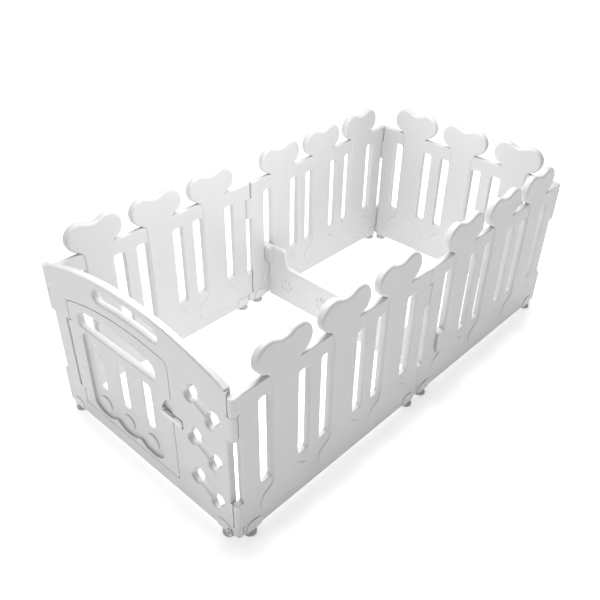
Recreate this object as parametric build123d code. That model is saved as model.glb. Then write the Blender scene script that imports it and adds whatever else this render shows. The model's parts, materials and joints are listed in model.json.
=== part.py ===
from build123d import *
import os
from math import atan2, cos, degrees, radians, sin, sqrt

# Pet playpen: six hinged panels in a ring two panels long and one panel wide,
# a door in the front panel and a low divider hooked across the middle.
# Millimetres. +X to the right, +Y to the back, +Z up.
# Origin: centre of the footprint, on the floor.

# ---- Driving dimensions ----
PITCH = 770.0            # hinge axis to hinge axis along every panel
FOOT_H = 14.0            # floor to the underside of the panels
WEB_T = 20.0             # wall of a picket panel
BONE_T = 26.0            # thickness over the raised bones
GATE_T = 22.0            # gate panel and door
EDGE_R = 4.0             # rounding of the panel edges
SEAM_R = 1.0             # rounding along the gap between door and gate

# Picket panel, heights above its own underside
RAIL_TOP = 490.0
SLOT_Z = (150.0, 440.0)
SLOT_W = 38.0
SLOT_CORNER_R = 9.0
SLOT_X = (93.0, 231.0, 314.5)        # centres in one half, mirrored in the other
BONE_X = (162.0, 385.0, 608.0)
BONE_Z = 307.5                        # middle of a picket bone
BONE = dict(half_length=233.5, lobe_x=49.5, lobe_r=45.0, notch_r=56.0, neck_r=26.0, half_width=48.0)
BONE_EDGE_R = 7.5

# Hinge knuckles between neighbouring panels
BARREL_R = 11.0
END_GAP = 14.0                        # hinge axis to the plain end of a panel
LEFT_KNUCKLES = ((434.0, 490.0), (40.0, 127.0))
RIGHT_KNUCKLES = ((356.0, 432.3), (5.0, 38.5))
CHEEK_X = 8.0                         # the outer face runs this close to the neighbour's hinge axis
CHEEK_PLAY = 0.6
PIN_R = 4.0
PIN_PLAY = 0.05
PIN_SPANS = ((378.0, 470.0), (10.0, 90.0))

# Gate panel
ARCH_TOP = 577.0
ARCH_R = 1049.5
ARCH_CENTRE = ARCH_TOP - ARCH_R       # every arch of the gate shares this centre height
GATE_KNUCKLE_TOP = 503.0
GRIP_R = (981.0, 1026.0)              # lower and upper arch of the carrying handle
GRIP_HALF_WIDTH = 114.0
CUTOUT_X = 668.0
CUTOUT_Z = (400.0, 256.0, 112.0)
CUTOUT_TILT = 60.0
CUTOUT = dict(half_length=43.0, lobe_x=18.5, lobe_r=17.0, notch_r=19.0, neck_r=6.0, half_width=13.0)

# Door
DOOR_GAP = 2.5
DOOR_X = (104.5, 546.0)
DOOR_Z = 54.0
DOOR_R = 950.0
DOOR_CORNERS = (18.0, 20.0, 12.0)     # top left, top right, bottom
DOOR_AXIS_X = 91.0
DOOR_BARREL_Z = (113.0, 365.0)
DOOR_JAMB_Z = (112.0, 366.0)          # frame barrels stop and start here
DOOR_PIN_SPANS = ((84.0, 142.0), (336.0, 396.0))
DOOR_PIN_R = 3.5
DOOR_POST_TOP = 438.0                 # top of the frame barrels of the door
DOOR_POST_CLEAR = 124.0               # the opening is widened this far behind the barrels
DOOR_GRIP_X = (146.0, 491.0)
DOOR_GRIP_Z = (370.0, 422.0, 439.0)   # sill, springing and crown
DOOR_GRIP_R = (32.0, 13.0)            # upper and lower corners
FIELD_X = (207.0, 318.0, 429.0)
FIELD_Z = (88.0, 348.0)               # cusps of the scalloped field
FIELD_RISE = (23.0, 11.0)             # depth of the lower and upper bays
FIELD_CORNERS = (26.0, 9.0)           # outer corners and cusps
FIELD_DEPTH = 8.0
DOOR_SLOT = (40.0, 160.0)
DOOR_SLOT_R = 15.0
DOOR_SLOT_Z = 246.0
DISC_R = 26.0
DISC_Z = 110.0
DISC_H = 4.0

# Latch
LATCH_AXIS = (511.0, -8.5)
LATCH_Z = (277.0, 291.0)              # bar of the lever
LATCH_Y = (-15.5, -4.5)
TIP_X = (558.0, 586.0)                # thick tip that drops into the gate's pocket
TIP_Z = (271.0, 298.0)
TIP_FRONT = -14.0
LATCH_BARREL_R = 5.0
LATCH_PIN_R = 1.5
LATCH_PIN_Z = (269.0, 298.0)
EAR_Z = (291.5, 298.5)
BED_GAP = 1.5                         # play above and below the bar
BED_X = 502.0
RECESS_DEPTH = 8.0
RECESS_R = 65.0
RECESS_CENTRE = (571.0, 285.0)        # the finger recess is an arc about the middle of the tip
KEEPER_X = (538.0, 590.0)
KEEPER_Z = (268.5, 301.5)
KEEPER_R = 8.0
STOP_Z = (130.0, 372.0)               # undersides of the two door stops
STOP_X = (538.0, 552.5, 566.0)        # free end, root and far end of a stop
STOP_H = 34.0
STOP_T = 2.5
STOP_GAP = 0.5

# End caps and feet
CAP_X = (19.0, 71.0)
CAP_H = 35.0
CAP_T = 26.0
CAP_EDGE_R = 1.5
CAP_DOME_R = 16.0
CAP_FLOOR = 4.0
FOOT_X = 38.0
FOOT_R = 19.0
STEM_R = 7.0
KNOB_R = 9.0
KNOB_TOP = 9.0

# Pull ring on the gate's right-hand cap
RING_R = (11.0, 5.5)
RING_X = 747.0
RING_Z = 9.0
RING_T = 4.5

# Divider
DIVIDER_T = 18.0
DIVIDER_Y = 93.0
DIVIDER_END_X = 361.0
DIVIDER_Z = (6.0, 154.0, 222.0)       # underside, low top and raised ends
HOOK_W = 34.0
HOOK_Z = (150.6, 214.0)
LIP_Z = 133.0
LIP_X = (396.2, 403.0)
PAW_X = (-272.0, -91.0, 91.0, 272.0)
PAW_Z = 78.0
PAW_DEPTH = 2.0


# ---- Outlines ----
def tangent_arc(centre, radius, start, end, through):
    """Arc about centre from start to end, passing through the given direction in degrees."""
    a = radians(through)
    middle = (centre[0] + radius * cos(a), centre[1] + radius * sin(a))
    return ThreePointArc(start, middle, end)


def bone_outline(half_length, lobe_x, lobe_r, notch_r, neck_r, half_width):
    """Upright bone about the origin: two round lobes at each end of a straight shaft."""
    notch_c = (0, half_length + sqrt((lobe_r + notch_r) ** 2 - lobe_x ** 2))
    neck_x = half_width + neck_r
    neck_c = (neck_x, half_length - sqrt((lobe_r + neck_r) ** 2 - (neck_x - lobe_x) ** 2))
    lobe_c = (lobe_x, half_length)

    def on_lobe(other, other_r):
        share = lobe_r / (lobe_r + other_r)
        return (lobe_c[0] + share * (other[0] - lobe_c[0]), lobe_c[1] + share * (other[1] - lobe_c[1]))

    notch_low = (0, notch_c[1] - notch_r)
    lobe_start = on_lobe(notch_c, notch_r)
    lobe_end = on_lobe(neck_c, neck_r)
    neck_end = (half_width, neck_c[1])
    notch_dir = degrees(atan2(lobe_start[1] - notch_c[1], lobe_start[0]))
    neck_dir = degrees(atan2(lobe_end[1] - neck_c[1], lobe_end[0] - neck_c[0]))
    quarter = [
        tangent_arc(notch_c, notch_r, notch_low, lobe_start, (notch_dir - 90) / 2),
        tangent_arc(lobe_c, lobe_r, lobe_start, lobe_end, 20),
        tangent_arc(neck_c, neck_r, lobe_end, neck_end, (neck_dir + 180) / 2),
        Line(neck_end, (half_width, 0)),
    ]
    right = quarter + mirrored(quarter, Plane.XZ)
    return make_face(right + mirrored(right, Plane.YZ))


def mirrored(edges, plane):
    return [mirror(e, about=plane).edge() for e in edges]


def plate(outline, thickness, edge_r):
    """Upright plate in the XZ plane with rounded edges on both faces."""
    solid = extrude(Plane.XZ * outline, amount=thickness / 2, both=True)
    rows = solid.edges().group_by(Axis.Y)
    return fillet(rows[0] + rows[-1], edge_r)


def face_edges(solid, x_span, z_span):
    """Edges on the two flat faces whose middles lie in this window."""
    rows = solid.edges().group_by(Axis.Y)
    middles = [(e, e.center()) for e in rows[0] + rows[-1]]
    return [e for e, c in middles if x_span[0] <= c.X <= x_span[1] and z_span[0] <= c.Z <= z_span[1]]


def upright_cylinder(x, radius, z_span, y=0.0):
    height = z_span[1] - z_span[0]
    return Pos(x, y, z_span[0] + height / 2) * Cylinder(radius, height)


def block(x_span, y_span, z_span):
    size = [b - a for a, b in (x_span, y_span, z_span)]
    centre = [(a + b) / 2 for a, b in (x_span, y_span, z_span)]
    return Pos(*centre) * Box(*size)


def arch_face(x_span, z_low, radius):
    """Area between a level bottom and an arch about the gate's arch centre."""
    def top(x):
        return ARCH_CENTRE + sqrt(radius ** 2 - (x - PITCH / 2) ** 2)
    x0, x1 = x_span
    middle = (x0 + x1) / 2
    arc = ThreePointArc((x0, top(x0)), (middle, top(middle)), (x1, top(x1)))
    sides = Polyline((x1, top(x1)), (x1, z_low), (x0, z_low), (x0, top(x0)))
    return make_face([arc] + sides.edges())


# ---- Panels ----
def knuckle(axis_x, z_span, half_t, direction):
    """Barrel on a hinge axis, joined to the panel on one side."""
    reach = axis_x + direction * (END_GAP + EDGE_R)
    barrel = upright_cylinder(axis_x, BARREL_R, z_span)
    bridge = block(sorted((axis_x, reach)), (-half_t, half_t), z_span)
    return barrel + bridge


def cheek(axis_x, z_span, half_t, direction):
    """Lip that carries the outer face up to the neighbour's barrel."""
    near = axis_x + direction * CHEEK_X
    reach = axis_x + direction * (END_GAP + EDGE_R)
    lip = block(sorted((near, reach)), (-half_t, 0.0), z_span)
    return lip - upright_cylinder(axis_x, BARREL_R + CHEEK_PLAY, z_span)


def add_ends(panel, half_t, top_knuckle_z):
    """Knuckles, pin holes, cap seats and foot pockets at both ends of a panel."""
    left_spans = ((LEFT_KNUCKLES[0][0], top_knuckle_z), LEFT_KNUCKLES[1])
    for span in left_spans:
        panel += knuckle(0.0, span, half_t, 1)
        panel += cheek(PITCH, span, half_t, -1)
    for span in RIGHT_KNUCKLES:
        panel += knuckle(PITCH, span, half_t, -1)
        panel += cheek(0.0, span, half_t, 1)
    for span in PIN_SPANS:
        panel -= upright_cylinder(0.0, PIN_R, span)
        panel -= upright_cylinder(PITCH, PIN_R + PIN_PLAY, span)
    for near, far, foot_x in end_places():
        panel -= block((near, far), (-half_t, half_t), (0.0, CAP_FLOOR))
        panel -= upright_cylinder(foot_x, KNOB_R, (CAP_FLOOR, KNOB_TOP))
    return panel


def end_places():
    """Span of the cap and place of the foot at the left and the right end."""
    left = (CAP_X[0], CAP_X[1], FOOT_X)
    right = (PITCH - CAP_X[1], PITCH - CAP_X[0], PITCH - FOOT_X)
    return (left, right)


def picket_panel():
    web = Pos(PITCH / 2, RAIL_TOP / 2) * Rectangle(PITCH - 2 * END_GAP, RAIL_TOP)
    slot_h = SLOT_Z[1] - SLOT_Z[0]
    for x in SLOT_X + tuple(PITCH - x for x in SLOT_X):
        web -= Pos(x, SLOT_Z[0] + slot_h / 2) * RectangleRounded(SLOT_W, slot_h, SLOT_CORNER_R)
    panel = plate(web, WEB_T, EDGE_R)
    bone = plate(bone_outline(**BONE), BONE_T, BONE_EDGE_R)
    for x in BONE_X:
        panel += Pos(x, 0, BONE_Z) * bone
    return add_ends(panel, WEB_T / 2, LEFT_KNUCKLES[0][1])


def door_outline(gap):
    """Outline of the door leaf, grown by the gap for the opening in the gate."""
    face = arch_face((DOOR_X[0], DOOR_X[1] + gap), DOOR_Z - gap, DOOR_R + gap)
    corners = face.vertices()
    top_left = corners.group_by(Axis.X)[0].sort_by(Axis.Y)[-1]
    top_right = corners.group_by(Axis.X)[-1].sort_by(Axis.Y)[-1]
    bottom_right = corners.group_by(Axis.X)[-1].sort_by(Axis.Y)[0]
    face = fillet(top_left, DOOR_CORNERS[0] + gap)
    face = fillet(nearest(face, top_right), DOOR_CORNERS[1] + gap)
    return fillet(nearest(face, bottom_right), DOOR_CORNERS[2] + gap)


def nearest(face, vertex):
    return face.vertices().sort_by_distance(vertex)[0]


def grip_slot():
    """Carrying handle: an arched slot with round ends."""
    radius = sum(GRIP_R) / 2
    width = GRIP_R[1] - GRIP_R[0]

    def at(x):
        return (PITCH / 2 + x, ARCH_CENTRE + sqrt(radius ** 2 - x ** 2))
    arc = ThreePointArc(at(-GRIP_HALF_WIDTH), at(0), at(GRIP_HALF_WIDTH))
    return SlotArc(arc, width)


def gate_panel():
    face = arch_face((END_GAP, PITCH - END_GAP), 0.0, ARCH_R)
    face -= grip_slot()
    for z in CUTOUT_Z:
        face -= Pos(CUTOUT_X, z) * Rot(0, 0, CUTOUT_TILT) * bone_outline(**CUTOUT)
    opening = door_outline(DOOR_GAP)
    jamb_x = DOOR_AXIS_X - END_GAP
    opening += span_area((jamb_x, DOOR_POST_CLEAR), DOOR_JAMB_Z)
    opening += span_area((DOOR_AXIS_X, DOOR_POST_CLEAR), (DOOR_Z - DOOR_GAP, DOOR_POST_TOP))
    half_t = GATE_T / 2
    panel = plate(face, GATE_T, EDGE_R) - extrude(Plane.XZ * opening, amount=half_t, both=True)
    width = (jamb_x - 1, DOOR_X[1] + DOOR_GAP + 1)
    height = (DOOR_Z - DOOR_GAP - 1, ARCH_CENTRE + DOOR_R + DOOR_GAP + 1)
    panel = fillet(face_edges(panel, width, height), SEAM_R)
    for span in ((DOOR_Z - DOOR_GAP, DOOR_JAMB_Z[0]), (DOOR_JAMB_Z[1], DOOR_POST_TOP)):
        panel += upright_cylinder(DOOR_AXIS_X, half_t, span)
        panel += block((DOOR_AXIS_X - END_GAP, DOOR_AXIS_X), (-half_t, half_t), span)
    for span in DOOR_PIN_SPANS:
        panel -= upright_cylinder(DOOR_AXIS_X, DOOR_PIN_R, span)
    panel -= latch_keeper()
    for z in STOP_Z:
        panel += door_stop(z)
    return add_ends(panel, half_t, GATE_KNUCKLE_TOP)


def latch_keeper():
    """Pocket in the gate that takes the tip of the latch."""
    pocket = span_area(KEEPER_X, KEEPER_Z)
    return sunk(fillet(pocket.vertices(), KEEPER_R), RECESS_DEPTH)


def sunk(outline, depth):
    """Cutter for a recess of this outline in the outer face of the gate or the door."""
    return Pos(0, depth - GATE_T / 2, 0) * extrude(Plane.XZ * outline, amount=depth + 2)


def span_area(x_span, z_span):
    centre = (sum(x_span) / 2, sum(z_span) / 2)
    return Pos(*centre) * Rectangle(x_span[1] - x_span[0], z_span[1] - z_span[0])


def door_stop(z):
    """Tab behind the door's free edge, fixed to the gate's inner face."""
    inner = GATE_T / 2
    free_end, root_x, far_end = STOP_X
    z_span = (z, z + STOP_H)
    tab = block((free_end, far_end), (inner + STOP_GAP, inner + STOP_GAP + STOP_T), z_span)
    root = block((root_x, far_end), (inner - 1.0, inner + STOP_GAP + STOP_T), z_span)
    return tab + root


# ---- Door and latch ----
def scalloped_field():
    """Sunk field of the door: three bays, each arched above and below."""
    half = (FIELD_X[1] - FIELD_X[0]) / 2
    low, high = FIELD_Z
    drop, rise = FIELD_RISE
    edges = []
    for x in FIELD_X:
        edges.append(ThreePointArc((x - half, low), (x, low - drop), (x + half, low)))
        edges.append(ThreePointArc((x - half, high), (x, high + rise), (x + half, high)))
    left = FIELD_X[0] - half
    right = FIELD_X[-1] + half
    edges.append(Line((left, low), (left, high)))
    edges.append(Line((right, low), (right, high)))
    field = make_face(edges)
    outer = [v for v in field.vertices() if v.X < left + 1 or v.X > right - 1]
    inner = [v for v in field.vertices() if left + 1 < v.X < right - 1]
    field = fillet(outer, FIELD_CORNERS[0])
    inner = [nearest(field, v) for v in inner]
    return fillet(inner, FIELD_CORNERS[1])


def door_grip():
    """Hand opening at the top of the door: level below, arched above."""
    left, right = DOOR_GRIP_X
    sill, springing, crown = DOOR_GRIP_Z
    edges = [
        Line((left, sill), (right, sill)),
        Line((right, sill), (right, springing)),
        ThreePointArc((right, springing), ((left + right) / 2, crown), (left, springing)),
        Line((left, springing), (left, sill)),
    ]
    face = make_face(edges)
    lower, upper = face.vertices().group_by(Axis.Y)[0], face.vertices().group_by(Axis.Y)[-1]
    face = fillet(upper, DOOR_GRIP_R[0])
    return fillet([nearest(face, v) for v in lower], DOOR_GRIP_R[1])


def door():
    half_t = GATE_T / 2
    leaf = plate(door_outline(0.0), GATE_T, SEAM_R)
    leaf -= extrude(Plane.XZ * door_grip(), amount=half_t, both=True)
    leaf = fillet(face_edges(leaf, DOOR_GRIP_X, (DOOR_GRIP_Z[0] - 1, DOOR_GRIP_Z[-1] + 1)), EDGE_R)
    leaf += upright_cylinder(DOOR_AXIS_X, BARREL_R, DOOR_BARREL_Z)
    leaf += block((DOOR_AXIS_X, DOOR_X[0] + EDGE_R), (-half_t, half_t), DOOR_BARREL_Z)
    field = extrude(Plane.XZ * scalloped_field(), amount=FIELD_DEPTH + 1)
    field = fillet(field.edges().group_by(Axis.Y)[-1], 3.0)
    front_y = -half_t
    leaf -= Pos(0, front_y + FIELD_DEPTH, 0) * field
    leaf -= Pos(0, -front_y - FIELD_DEPTH, 0) * mirror(field, about=Plane.XZ)
    web_face = half_t - FIELD_DEPTH
    for x in FIELD_X:
        leaf += door_disc(x, -web_face, 1)
        leaf += door_disc(x, web_face, -1)
        slot = Pos(x, DOOR_SLOT_Z) * RectangleRounded(*DOOR_SLOT, DOOR_SLOT_R)
        leaf -= extrude(Plane.XZ * slot, amount=half_t, both=True)
    for span in DOOR_PIN_SPANS:
        leaf -= upright_cylinder(DOOR_AXIS_X, DOOR_PIN_R + PIN_PLAY, span)
    leaf -= latch_recess()
    leaf += latch_ear()
    return leaf - latch_rod(LATCH_PIN_R)


def door_disc(x, face_y, outward):
    """Low round button on the sunk field, with a rounded rim."""
    disc = Rot(90 * outward, 0, 0) * extrude(Circle(DISC_R), amount=DISC_H)
    rim = disc.edges().sort_by(Axis.Y)[0 if outward > 0 else -1]
    return Pos(x, face_y, DISC_Z) * fillet(rim, DISC_H - 0.8)


def latch_recess():
    """Arched finger recess beside the free edge, with the bed of the latch below it."""
    edge_x = DOOR_X[1] + 1
    bed_low = LATCH_Z[0] - BED_GAP
    bed_high = LATCH_Z[1] + BED_GAP
    finger = Pos(*RECESS_CENTRE) * Circle(RECESS_R)
    finger &= span_area((BED_X, edge_x), (bed_high - 1, RECESS_CENTRE[1] + RECESS_R))
    bed = span_area((BED_X, edge_x), (bed_low, bed_high))
    return sunk(finger + bed, RECESS_DEPTH)


def latch_ear():
    """Ear above the latch barrel that holds the top of its pin."""
    x, y = LATCH_AXIS
    ear = upright_cylinder(x, LATCH_BARREL_R, EAR_Z, y)
    web_y = RECESS_DEPTH - GATE_T / 2 + 1
    return ear + block((x - LATCH_BARREL_R, x + LATCH_BARREL_R), (y, web_y), EAR_Z)


def latch_rod(radius):
    return upright_cylinder(LATCH_AXIS[0], radius, LATCH_PIN_Z, LATCH_AXIS[1])


def latch_lever():
    """Bar across the gap beside the door, thicker at the tip, on an upright pin."""
    x, y = LATCH_AXIS
    bar = block((x - LATCH_BARREL_R, TIP_X[1] - 4), LATCH_Y, LATCH_Z)
    bar = fillet(bar.edges().filter_by(Axis.Z).group_by(Axis.X)[0], LATCH_BARREL_R - 0.5)
    bar = fillet(bar.edges().group_by(Axis.Y)[0], 1.2)
    tip = block(TIP_X, (TIP_FRONT, LATCH_Y[1]), TIP_Z)
    tip = fillet(tip.edges().filter_by(Axis.Y), 7)
    tip = fillet(tip.edges().group_by(Axis.Y)[0], 1.2)
    lever = bar + tip + upright_cylinder(x, LATCH_BARREL_R, LATCH_Z, y)
    return lever - latch_rod(LATCH_PIN_R + PIN_PLAY)


# ---- Divider ----
def divider():
    low, dip, crest = DIVIDER_Z
    ends = DIVIDER_END_X
    right = [
        Line((0, low), (ends, low)),
        Line((ends, low), (ends, crest - 4)),
        ThreePointArc((ends, crest - 4), (ends - 20, crest - 0.8), (ends - 40, crest)),
        Line((ends - 40, crest), (300, crest)),
        Spline([(300, crest), (277, 188), (250, dip)], tangents=[(-1, 0), (-1, 0)]),
        Line((250, dip), (0, dip)),
    ]
    outline = make_face(right + mirrored(right, Plane.YZ))
    board = plate(outline, DIVIDER_T, EDGE_R)
    for x in PAW_X:
        board -= paw(x)
    for side in (1, -1):
        board += divider_hook(side)
    return Pos(0, DIVIDER_Y, 0) * board


def divider_hook(side):
    """Tongue through the wall's first slot, with a lip that drops behind the wall."""
    x_out = LIP_X[1]
    half_w = HOOK_W / 2
    tongue = block((DIVIDER_END_X - 14, x_out), (-half_w, half_w), HOOK_Z)
    tongue = fillet(tongue.edges().filter_by(Axis.X), 7)
    lip = block(LIP_X, (-half_w + 4, half_w - 4), (LIP_Z, HOOK_Z[1] - 12))
    lip = fillet(lip.edges().filter_by(Axis.X), 5)
    hook = tongue + lip
    return hook if side > 0 else mirror(hook, about=Plane.YZ)


def paw(x):
    """Sunk paw print on both faces: one pad and four toes."""
    print_face = Pos(0, -11) * Ellipse(23, 14)
    for toe_x, toe_z in ((-25, 10), (-9, 24), (10, 24), (26, 10)):
        print_face += Pos(toe_x, toe_z) * Ellipse(7, 9)
    placed = Pos(x, PAW_Z) * Rot(0, 0, -14) * print_face
    sunk = extrude(Plane.XZ * placed, amount=2 * PAW_DEPTH)
    surface = DIVIDER_T / 2
    return Pos(0, -surface + PAW_DEPTH, 0) * sunk + Pos(0, surface + PAW_DEPTH, 0) * sunk


# ---- Small parts ----
def end_cap(x_span, half_t):
    """Channel over the lower end of a panel, domed in outline, open at the top."""
    width = x_span[1] - x_span[0]
    outline = Pos(sum(x_span) / 2, CAP_H / 2) * Rectangle(width, CAP_H)
    outline = fillet(outline.vertices().group_by(Axis.Y)[-1], CAP_DOME_R)
    shell = plate(outline, CAP_T, CAP_EDGE_R)
    shell -= block(x_span, (-half_t, half_t), (CAP_FLOOR, CAP_H))
    return shell - upright_cylinder(foot_place(x_span), STEM_R, (0.0, CAP_FLOOR))


def foot_place(x_span):
    """Foot place of the end that this cap covers."""
    return FOOT_X if x_span[0] < PITCH / 2 else PITCH - FOOT_X


def foot(x):
    """Rubber suction foot with a stem and a knob that snaps through the cap."""
    rim = Line((FOOT_R - 4, -FOOT_H), (FOOT_R, -FOOT_H))
    profile = [
        ThreePointArc((0, -FOOT_H + 5), (9, -FOOT_H + 3.4), (FOOT_R - 4, -FOOT_H)),
        rim,
        Line((FOOT_R, -FOOT_H), (FOOT_R, -FOOT_H + 4)),
        Line((FOOT_R, -FOOT_H + 4), (12, 0)),
        Line((12, 0), (STEM_R, 0)),
        Line((STEM_R, 0), (STEM_R, CAP_FLOOR)),
        Line((STEM_R, CAP_FLOOR), (KNOB_R, CAP_FLOOR)),
        Line((KNOB_R, CAP_FLOOR), (5, KNOB_TOP)),
        Line((5, KNOB_TOP), (0, KNOB_TOP)),
        Line((0, KNOB_TOP), (0, -FOOT_H + 5)),
    ]
    return Pos(x, 0, 0) * revolve(Plane.XZ * make_face(profile), Axis.Z)


def pin_group(x, spans, radius):
    pins = [upright_cylinder(x, radius, (z0 + 0.3, z1 - 0.3)) for z0, z1 in spans]
    return Compound(children=[chamfer(p.edges().filter_by(GeomType.CIRCLE), 0.6) for p in pins])


def pull_ring():
    """Small ring on the outer face of the gate's right-hand cap."""
    face_y = -CAP_T / 2
    ring = Circle(RING_R[0]) - Circle(RING_R[1])
    solid = Pos(RING_X, face_y, RING_Z) * extrude(Plane.XZ * ring, amount=RING_T)
    front = solid.edges().group_by(Axis.Y)[0]
    return fillet(front, 1.4)


# ---- Assembly ----
def ring_places():
    """Name, place and turn of each panel, in order round the ring."""
    half = PITCH / 2
    return {
        "gate": Pos(-half, -PITCH, FOOT_H),
        "right_front": Pos(half, -PITCH, FOOT_H) * Rot(0, 0, 90),
        "right_rear": Pos(half, 0, FOOT_H) * Rot(0, 0, 90),
        "back": Pos(half, PITCH, FOOT_H) * Rot(0, 0, 180),
        "left_rear": Pos(-half, PITCH, FOOT_H) * Rot(0, 0, 270),
        "left_front": Pos(-half, 0, FOOT_H) * Rot(0, 0, 270),
    }


PIN_NAMES = {
    "gate": "front_left",
    "right_front": "front_right",
    "right_rear": "mid_right",
    "back": "back_right",
    "left_rear": "back_left",
    "left_front": "mid_left",
}


def build():
    nodes = {}
    pickets = picket_panel()
    pins = pin_group(0.0, PIN_SPANS, PIN_R)
    for name, place in ring_places().items():
        half_t = GATE_T / 2 if name == "gate" else WEB_T / 2
        nodes[f"{name}_panel"] = place * (gate_panel() if name == "gate" else pickets)
        nodes[f"hinge_pins_{PIN_NAMES[name]}"] = place * pins
        for side, (near, far, foot_x) in zip(("left", "right"), end_places()):
            nodes[f"{name}_{side}_end_cap"] = place * end_cap((near, far), half_t)
            nodes[f"{name}_{side}_foot"] = place * foot(foot_x)
    gate_place = ring_places()["gate"]
    nodes["door"] = gate_place * door()
    nodes["door_hinge_pins"] = gate_place * pin_group(DOOR_AXIS_X, DOOR_PIN_SPANS, DOOR_PIN_R)
    nodes["latch_lever"] = gate_place * latch_lever()
    nodes["latch_pin"] = gate_place * latch_rod(LATCH_PIN_R)
    nodes["gate_pull_ring"] = gate_place * pull_ring()
    nodes["divider_panel"] = Pos(0, 0, FOOT_H) * divider()
    return nodes


os.makedirs("parts", exist_ok=True)
for node_name, shape in build().items():
    export_step(shape, f"parts/{node_name}.step")
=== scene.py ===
import json
import math

import bmesh
import bpy
from mathutils import Euler, Matrix, Vector


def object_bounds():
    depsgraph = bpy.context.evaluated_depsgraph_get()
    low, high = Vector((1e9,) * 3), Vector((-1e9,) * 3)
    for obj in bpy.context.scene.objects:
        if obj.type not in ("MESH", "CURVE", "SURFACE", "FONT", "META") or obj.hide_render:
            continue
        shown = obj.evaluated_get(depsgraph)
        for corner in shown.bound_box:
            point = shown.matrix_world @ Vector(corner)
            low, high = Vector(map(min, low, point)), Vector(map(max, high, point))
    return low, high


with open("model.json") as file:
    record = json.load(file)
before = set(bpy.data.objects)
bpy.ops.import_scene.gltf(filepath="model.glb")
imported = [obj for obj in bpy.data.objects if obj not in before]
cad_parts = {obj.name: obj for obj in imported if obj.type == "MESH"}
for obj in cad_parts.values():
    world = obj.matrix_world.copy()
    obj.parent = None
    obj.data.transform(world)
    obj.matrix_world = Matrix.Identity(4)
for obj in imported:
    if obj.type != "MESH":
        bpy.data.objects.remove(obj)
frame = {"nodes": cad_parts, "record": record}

cad_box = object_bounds()

# ---- Camera, lights and floor (metres, degrees) ----
CAMERA_AT = (1.2864, -1.5307, 1.5747)
CAMERA_HEADING = 42.60      # left of +Y
CAMERA_DIP = 36.03          # below the horizon
CAMERA_ROLL = 1.05
CAMERA_VIEW = 45.76         # horizontal field of view
CAMERA_SHIFT = (0.0, 0.0305)
CAMERA_REACH = 100.0

WORLD_LIGHT = 0.33
KEY_LIGHT = dict(towards=(0.25, -0.25, -0.93), strength=2.1, spread=34)
GATE_LIGHT = dict(towards=(0.40, 0.84, -0.38), strength=0.50, spread=40)
SOFTBOX = dict(at=(0.0, -0.05, 1.0), size=(0.3, 1.5), watts=8)

FLOOR_SIZE = 60.0
FLOOR_CELLS = 4
FLOOR_DROP = 0.0002         # the floor lies this far under the feet
FLOOR_GLOW = 0.42           # keeps the pale floor white under the walls
FLOOR_CLOUDS = dict(scale=1.5, detail=2.0, rough=0.5)
FLOOR_TONES = ((0.93, 0.93, 0.93), (0.95, 0.95, 0.95))
FLOOR_ROUGH = 0.9
FLOOR_SPECULAR = 0.1

WHITE = (1, 1, 1, 1)
NOISE_BAND = (0.3, 0.7)     # most noise values lie in here

# ---- Plastic: one recipe in three finishes; the latch's lighter tint is a painted highlight ----
PANEL_FINISH = dict(tint=(0.60, 0.60, 0.605), rough=0.42, wave=0.10, grain=0.25)
CAP_FINISH = dict(tint=(0.62, 0.62, 0.625), rough=0.30, wave=0.04, grain=0.12)
# The latch tint (0.72) is lighter than the panels' (0.60). This is a painted highlight for the
# light on the lever's top face, not a whiter plastic.
LATCH_PAINTED_BRIGHT_FINISH = dict(tint=(0.72, 0.72, 0.725), rough=0.34, wave=0.04, grain=0.2)

FLOW_MARKS = dict(scale=3.5, detail=4.0, rough=0.6, stretch=(1, 1, 0.35))
FLOW_BAND = (0.35, 0.65)
FLOW_DULL = 0.975           # tint between the marks
FLOW_BRIGHT = 1.012         # tint on the marks
GLOSS_PATCHES = dict(scale=90.0, detail=4.0, rough=0.6)
GLOSS_RANGE = (-0.05, 0.06)
SAG = dict(scale=9.0, detail=1.0, rough=0.4)
SAG_DEPTH = 0.0012
SKIN_GRAIN = dict(scale=900.0, detail=2.0, rough=0.5)
SKIN_DEPTH = 0.00008
PLASTIC_IOR = 1.5
PLASTIC_SPECULAR = 0.45
DIFFUSE_DEPTH = 0.006       # how far light spreads under the skin
DIFFUSE_SHARE = 0.25
DIFFUSE_RADII = (1.0, 1.0, 1.0)

# ---- Rubber and steel ----
MOULD_DUST = dict(scale=160.0, detail=5.0, rough=0.65)
DUST_BAND = (0.35, 0.7)
RUBBER_TONES = ((0.36, 0.36, 0.365), (0.50, 0.50, 0.505))
RUBBER_ROUGH = (0.42, 0.62)
RUBBER_GRAIN = dict(scale=1400.0, detail=2.0, rough=0.5)
RUBBER_DEPTH = 0.0001
RUBBER_BUMP = 0.3
DRAWN_LINES = dict(scale=1200.0, detail=2.0, rough=0.5, stretch=(0.1, 0.1, 1))
STEEL_TONES = ((0.5, 0.5, 0.51), (0.66, 0.66, 0.67))
STEEL_ROUGH = (0.25, 0.42)


# ---- Node helpers ----
def new_material(name):
    """A material of an output and a Principled shader, with its tree and that shader."""
    mat = bpy.data.materials.new(name)
    mat.use_nodes = True
    tree = mat.node_tree
    tree.nodes.clear()
    output = tree.nodes.new("ShaderNodeOutputMaterial")
    shader = tree.nodes.new("ShaderNodeBsdfPrincipled")
    tree.links.new(shader.outputs["BSDF"], output.inputs["Surface"])
    return mat, tree, shader


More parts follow.
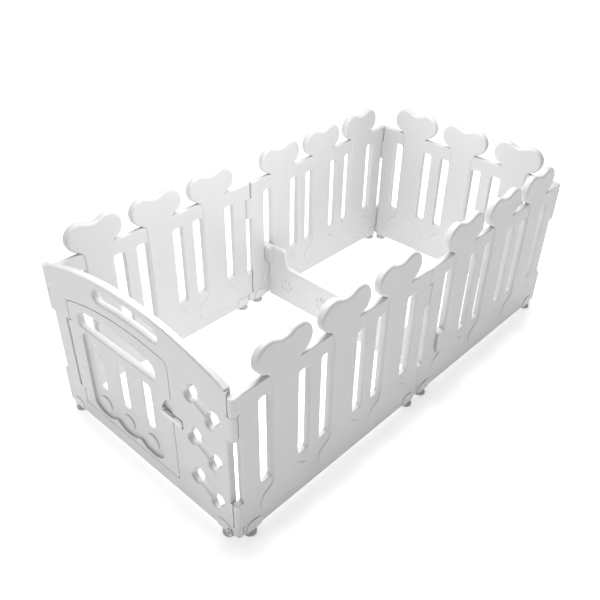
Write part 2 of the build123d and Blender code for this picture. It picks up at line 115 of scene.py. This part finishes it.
def noise(tree, scale, detail, rough, stretch=(1, 1, 1)):
    """Noise value in object space, at so many cells to the metre."""
    coords = tree.nodes.new("ShaderNodeTexCoord")
    mapping = tree.nodes.new("ShaderNodeMapping")
    mapping.inputs["Scale"].default_value = stretch
    tree.links.new(coords.outputs["Object"], mapping.inputs["Vector"])
    tex = tree.nodes.new("ShaderNodeTexNoise")
    tex.inputs["Scale"].default_value = scale
    tex.inputs["Detail"].default_value = detail
    tex.inputs["Roughness"].default_value = rough
    tree.links.new(mapping.outputs["Vector"], tex.inputs["Vector"])
    return tex.outputs["Fac"]


def ramp(tree, value, band, colours):
    """Colour that runs from the first to the second as value crosses the band."""
    node = tree.nodes.new("ShaderNodeValToRGB")
    for stop, place, colour in zip(node.color_ramp.elements, band, colours):
        stop.position = place
        stop.color = (*colour, 1)
    tree.links.new(value, node.inputs["Fac"])
    return node.outputs["Color"]


def map_range(tree, value, band, span):
    """Value moved from the band into the given span."""
    node = tree.nodes.new("ShaderNodeMapRange")
    node.inputs["From Min"].default_value = band[0]
    node.inputs["From Max"].default_value = band[1]
    node.inputs["To Min"].default_value = span[0]
    node.inputs["To Max"].default_value = span[1]
    tree.links.new(value, node.inputs["Value"])
    return node.outputs["Result"]


def bump(tree, height, distance, strength, below=None):
    """Normal bent by a height, on top of the normal below it if there is one."""
    node = tree.nodes.new("ShaderNodeBump")
    node.inputs["Distance"].default_value = distance
    node.inputs["Strength"].default_value = strength
    tree.links.new(height, node.inputs["Height"])
    if below is not None:
        tree.links.new(below, node.inputs["Normal"])
    return node.outputs["Normal"]


# ---- Materials ----
def moulded_plastic(name, tint, rough, wave, grain):
    """White polyethylene: faint flow marks, gentle waviness of a moulding, fine skin grain."""
    mat, tree, shader = new_material(name)
    dull = tuple(c * FLOW_DULL for c in tint)
    bright = tuple(c * FLOW_BRIGHT for c in tint)
    colour = ramp(tree, noise(tree, **FLOW_MARKS), FLOW_BAND, (dull, bright))
    tree.links.new(colour, shader.inputs["Base Color"])
    rough_span = tuple(rough + change for change in GLOSS_RANGE)
    gloss = map_range(tree, noise(tree, **GLOSS_PATCHES), NOISE_BAND, rough_span)
    tree.links.new(gloss, shader.inputs["Roughness"])
    sag = bump(tree, noise(tree, **SAG), SAG_DEPTH, wave)
    skin = bump(tree, noise(tree, **SKIN_GRAIN), SKIN_DEPTH, grain, sag)
    tree.links.new(skin, shader.inputs["Normal"])
    shader.inputs["IOR"].default_value = PLASTIC_IOR
    shader.inputs["Specular IOR Level"].default_value = PLASTIC_SPECULAR
    shader.inputs["Subsurface Weight"].default_value = DIFFUSE_SHARE
    shader.inputs["Subsurface Radius"].default_value = DIFFUSE_RADII
    shader.inputs["Subsurface Scale"].default_value = DIFFUSE_DEPTH
    return mat


def foot_rubber():
    """Soft grey rubber with mould dust in patches."""
    mat, tree, shader = new_material("foot_rubber")
    dust = noise(tree, **MOULD_DUST)
    tree.links.new(ramp(tree, dust, DUST_BAND, RUBBER_TONES), shader.inputs["Base Color"])
    tree.links.new(map_range(tree, dust, NOISE_BAND, RUBBER_ROUGH), shader.inputs["Roughness"])
    grain = bump(tree, noise(tree, **RUBBER_GRAIN), RUBBER_DEPTH, RUBBER_BUMP)
    tree.links.new(grain, shader.inputs["Normal"])
    return mat


def pin_steel():
    """Drawn steel rod: fine lines round the rod."""
    mat, tree, shader = new_material("pin_steel")
    lines = noise(tree, **DRAWN_LINES)
    tree.links.new(ramp(tree, lines, NOISE_BAND, STEEL_TONES), shader.inputs["Base Color"])
    tree.links.new(map_range(tree, lines, NOISE_BAND, STEEL_ROUGH), shader.inputs["Roughness"])
    shader.inputs["Metallic"].default_value = 1.0
    return mat


def floor_paint():
    """Matt, nearly white floor with a faint glow."""
    mat, tree, shader = new_material("floor_paint")
    clouds = noise(tree, **FLOOR_CLOUDS)
    tree.links.new(ramp(tree, clouds, NOISE_BAND, FLOOR_TONES), shader.inputs["Base Color"])
    shader.inputs["Roughness"].default_value = FLOOR_ROUGH
    shader.inputs["Emission Color"].default_value = WHITE
    shader.inputs["Emission Strength"].default_value = FLOOR_GLOW
    shader.inputs["Specular IOR Level"].default_value = FLOOR_SPECULAR
    return mat


def dress_cad_nodes():
    """Gives every carried-over CAD node the material of its slot."""
    by_slot = {
        "panel_plastic": moulded_plastic("panel_plastic", **PANEL_FINISH),
        "cap_plastic": moulded_plastic("cap_plastic", **CAP_FINISH),
        # latch plastic carries a lighter tint: painted highlight
        "latch_plastic": moulded_plastic("latch_plastic", **LATCH_PAINTED_BRIGHT_FINISH),
        "foot_rubber": foot_rubber(),
        "pin_steel": pin_steel(),
    }
    for row in frame["record"]["subparts"]:
        node = frame["nodes"][row["node"]]
        node.data.materials.clear()
        node.data.materials.append(by_slot[row["material_slot"]])


# ---- Stage ----
def link(name, data):
    """A new object of the data, in the scene."""
    obj = bpy.data.objects.new(name, data)
    bpy.context.scene.collection.objects.link(obj)
    return obj


def add_floor():
    """Pale floor under the feet, so wide that its edge is out of the camera's view."""
    bm = bmesh.new()
    bmesh.ops.create_grid(bm, x_segments=FLOOR_CELLS, y_segments=FLOOR_CELLS, size=FLOOR_SIZE / 2)
    mesh = bpy.data.meshes.new("floor")
    bm.to_mesh(mesh)
    bm.free()
    mesh.materials.append(floor_paint())
    floor = link("floor", mesh)
    floor.location.z = cad_box[0][2] - FLOOR_DROP


def add_sun(name, towards, strength, spread):
    """Soft light that falls along a direction, from a disc so many degrees wide."""
    data = bpy.data.lights.new(name, "SUN")
    data.energy = strength
    data.angle = math.radians(spread)
    link(name, data).rotation_euler = Vector(towards).to_track_quat("-Z", "Y").to_euler()


def add_softbox(at, size, watts):
    """Level lamp over the pen, unseen itself, which lights the inside of the walls."""
    data = bpy.data.lights.new("softbox", "AREA")
    data.shape = "RECTANGLE"
    data.size, data.size_y = size
    data.energy = watts
    lamp = link("softbox", data)
    lamp.location = at
    lamp.visible_camera = False


def add_world():
    """Even white light from all round."""
    world = bpy.data.worlds.new("studio")
    world.use_nodes = True
    background = world.node_tree.nodes["Background"]
    background.inputs["Color"].default_value = WHITE
    background.inputs["Strength"].default_value = WORLD_LIGHT
    bpy.context.scene.world = world


def add_camera():
    """Camera beyond the front right corner, looking down across the pen."""
    data = bpy.data.cameras.new("camera")
    data.sensor_fit = "HORIZONTAL"
    data.angle = math.radians(CAMERA_VIEW)
    data.shift_x, data.shift_y = CAMERA_SHIFT
    data.clip_end = CAMERA_REACH
    camera = link("camera", data)
    aim = Euler((math.radians(90 - CAMERA_DIP), 0, math.radians(CAMERA_HEADING))).to_matrix()
    turned = aim @ Matrix.Rotation(math.radians(CAMERA_ROLL), 3, "Z")
    camera.matrix_world = Matrix.Translation(CAMERA_AT) @ turned.to_4x4()
    bpy.context.scene.camera = camera


dress_cad_nodes()
add_floor()
add_world()
add_sun("key_light", **KEY_LIGHT)
add_sun("gate_light", **GATE_LIGHT)
add_softbox(**SOFTBOX)
add_camera()
bpy.context.scene.view_settings.view_transform = "Standard"
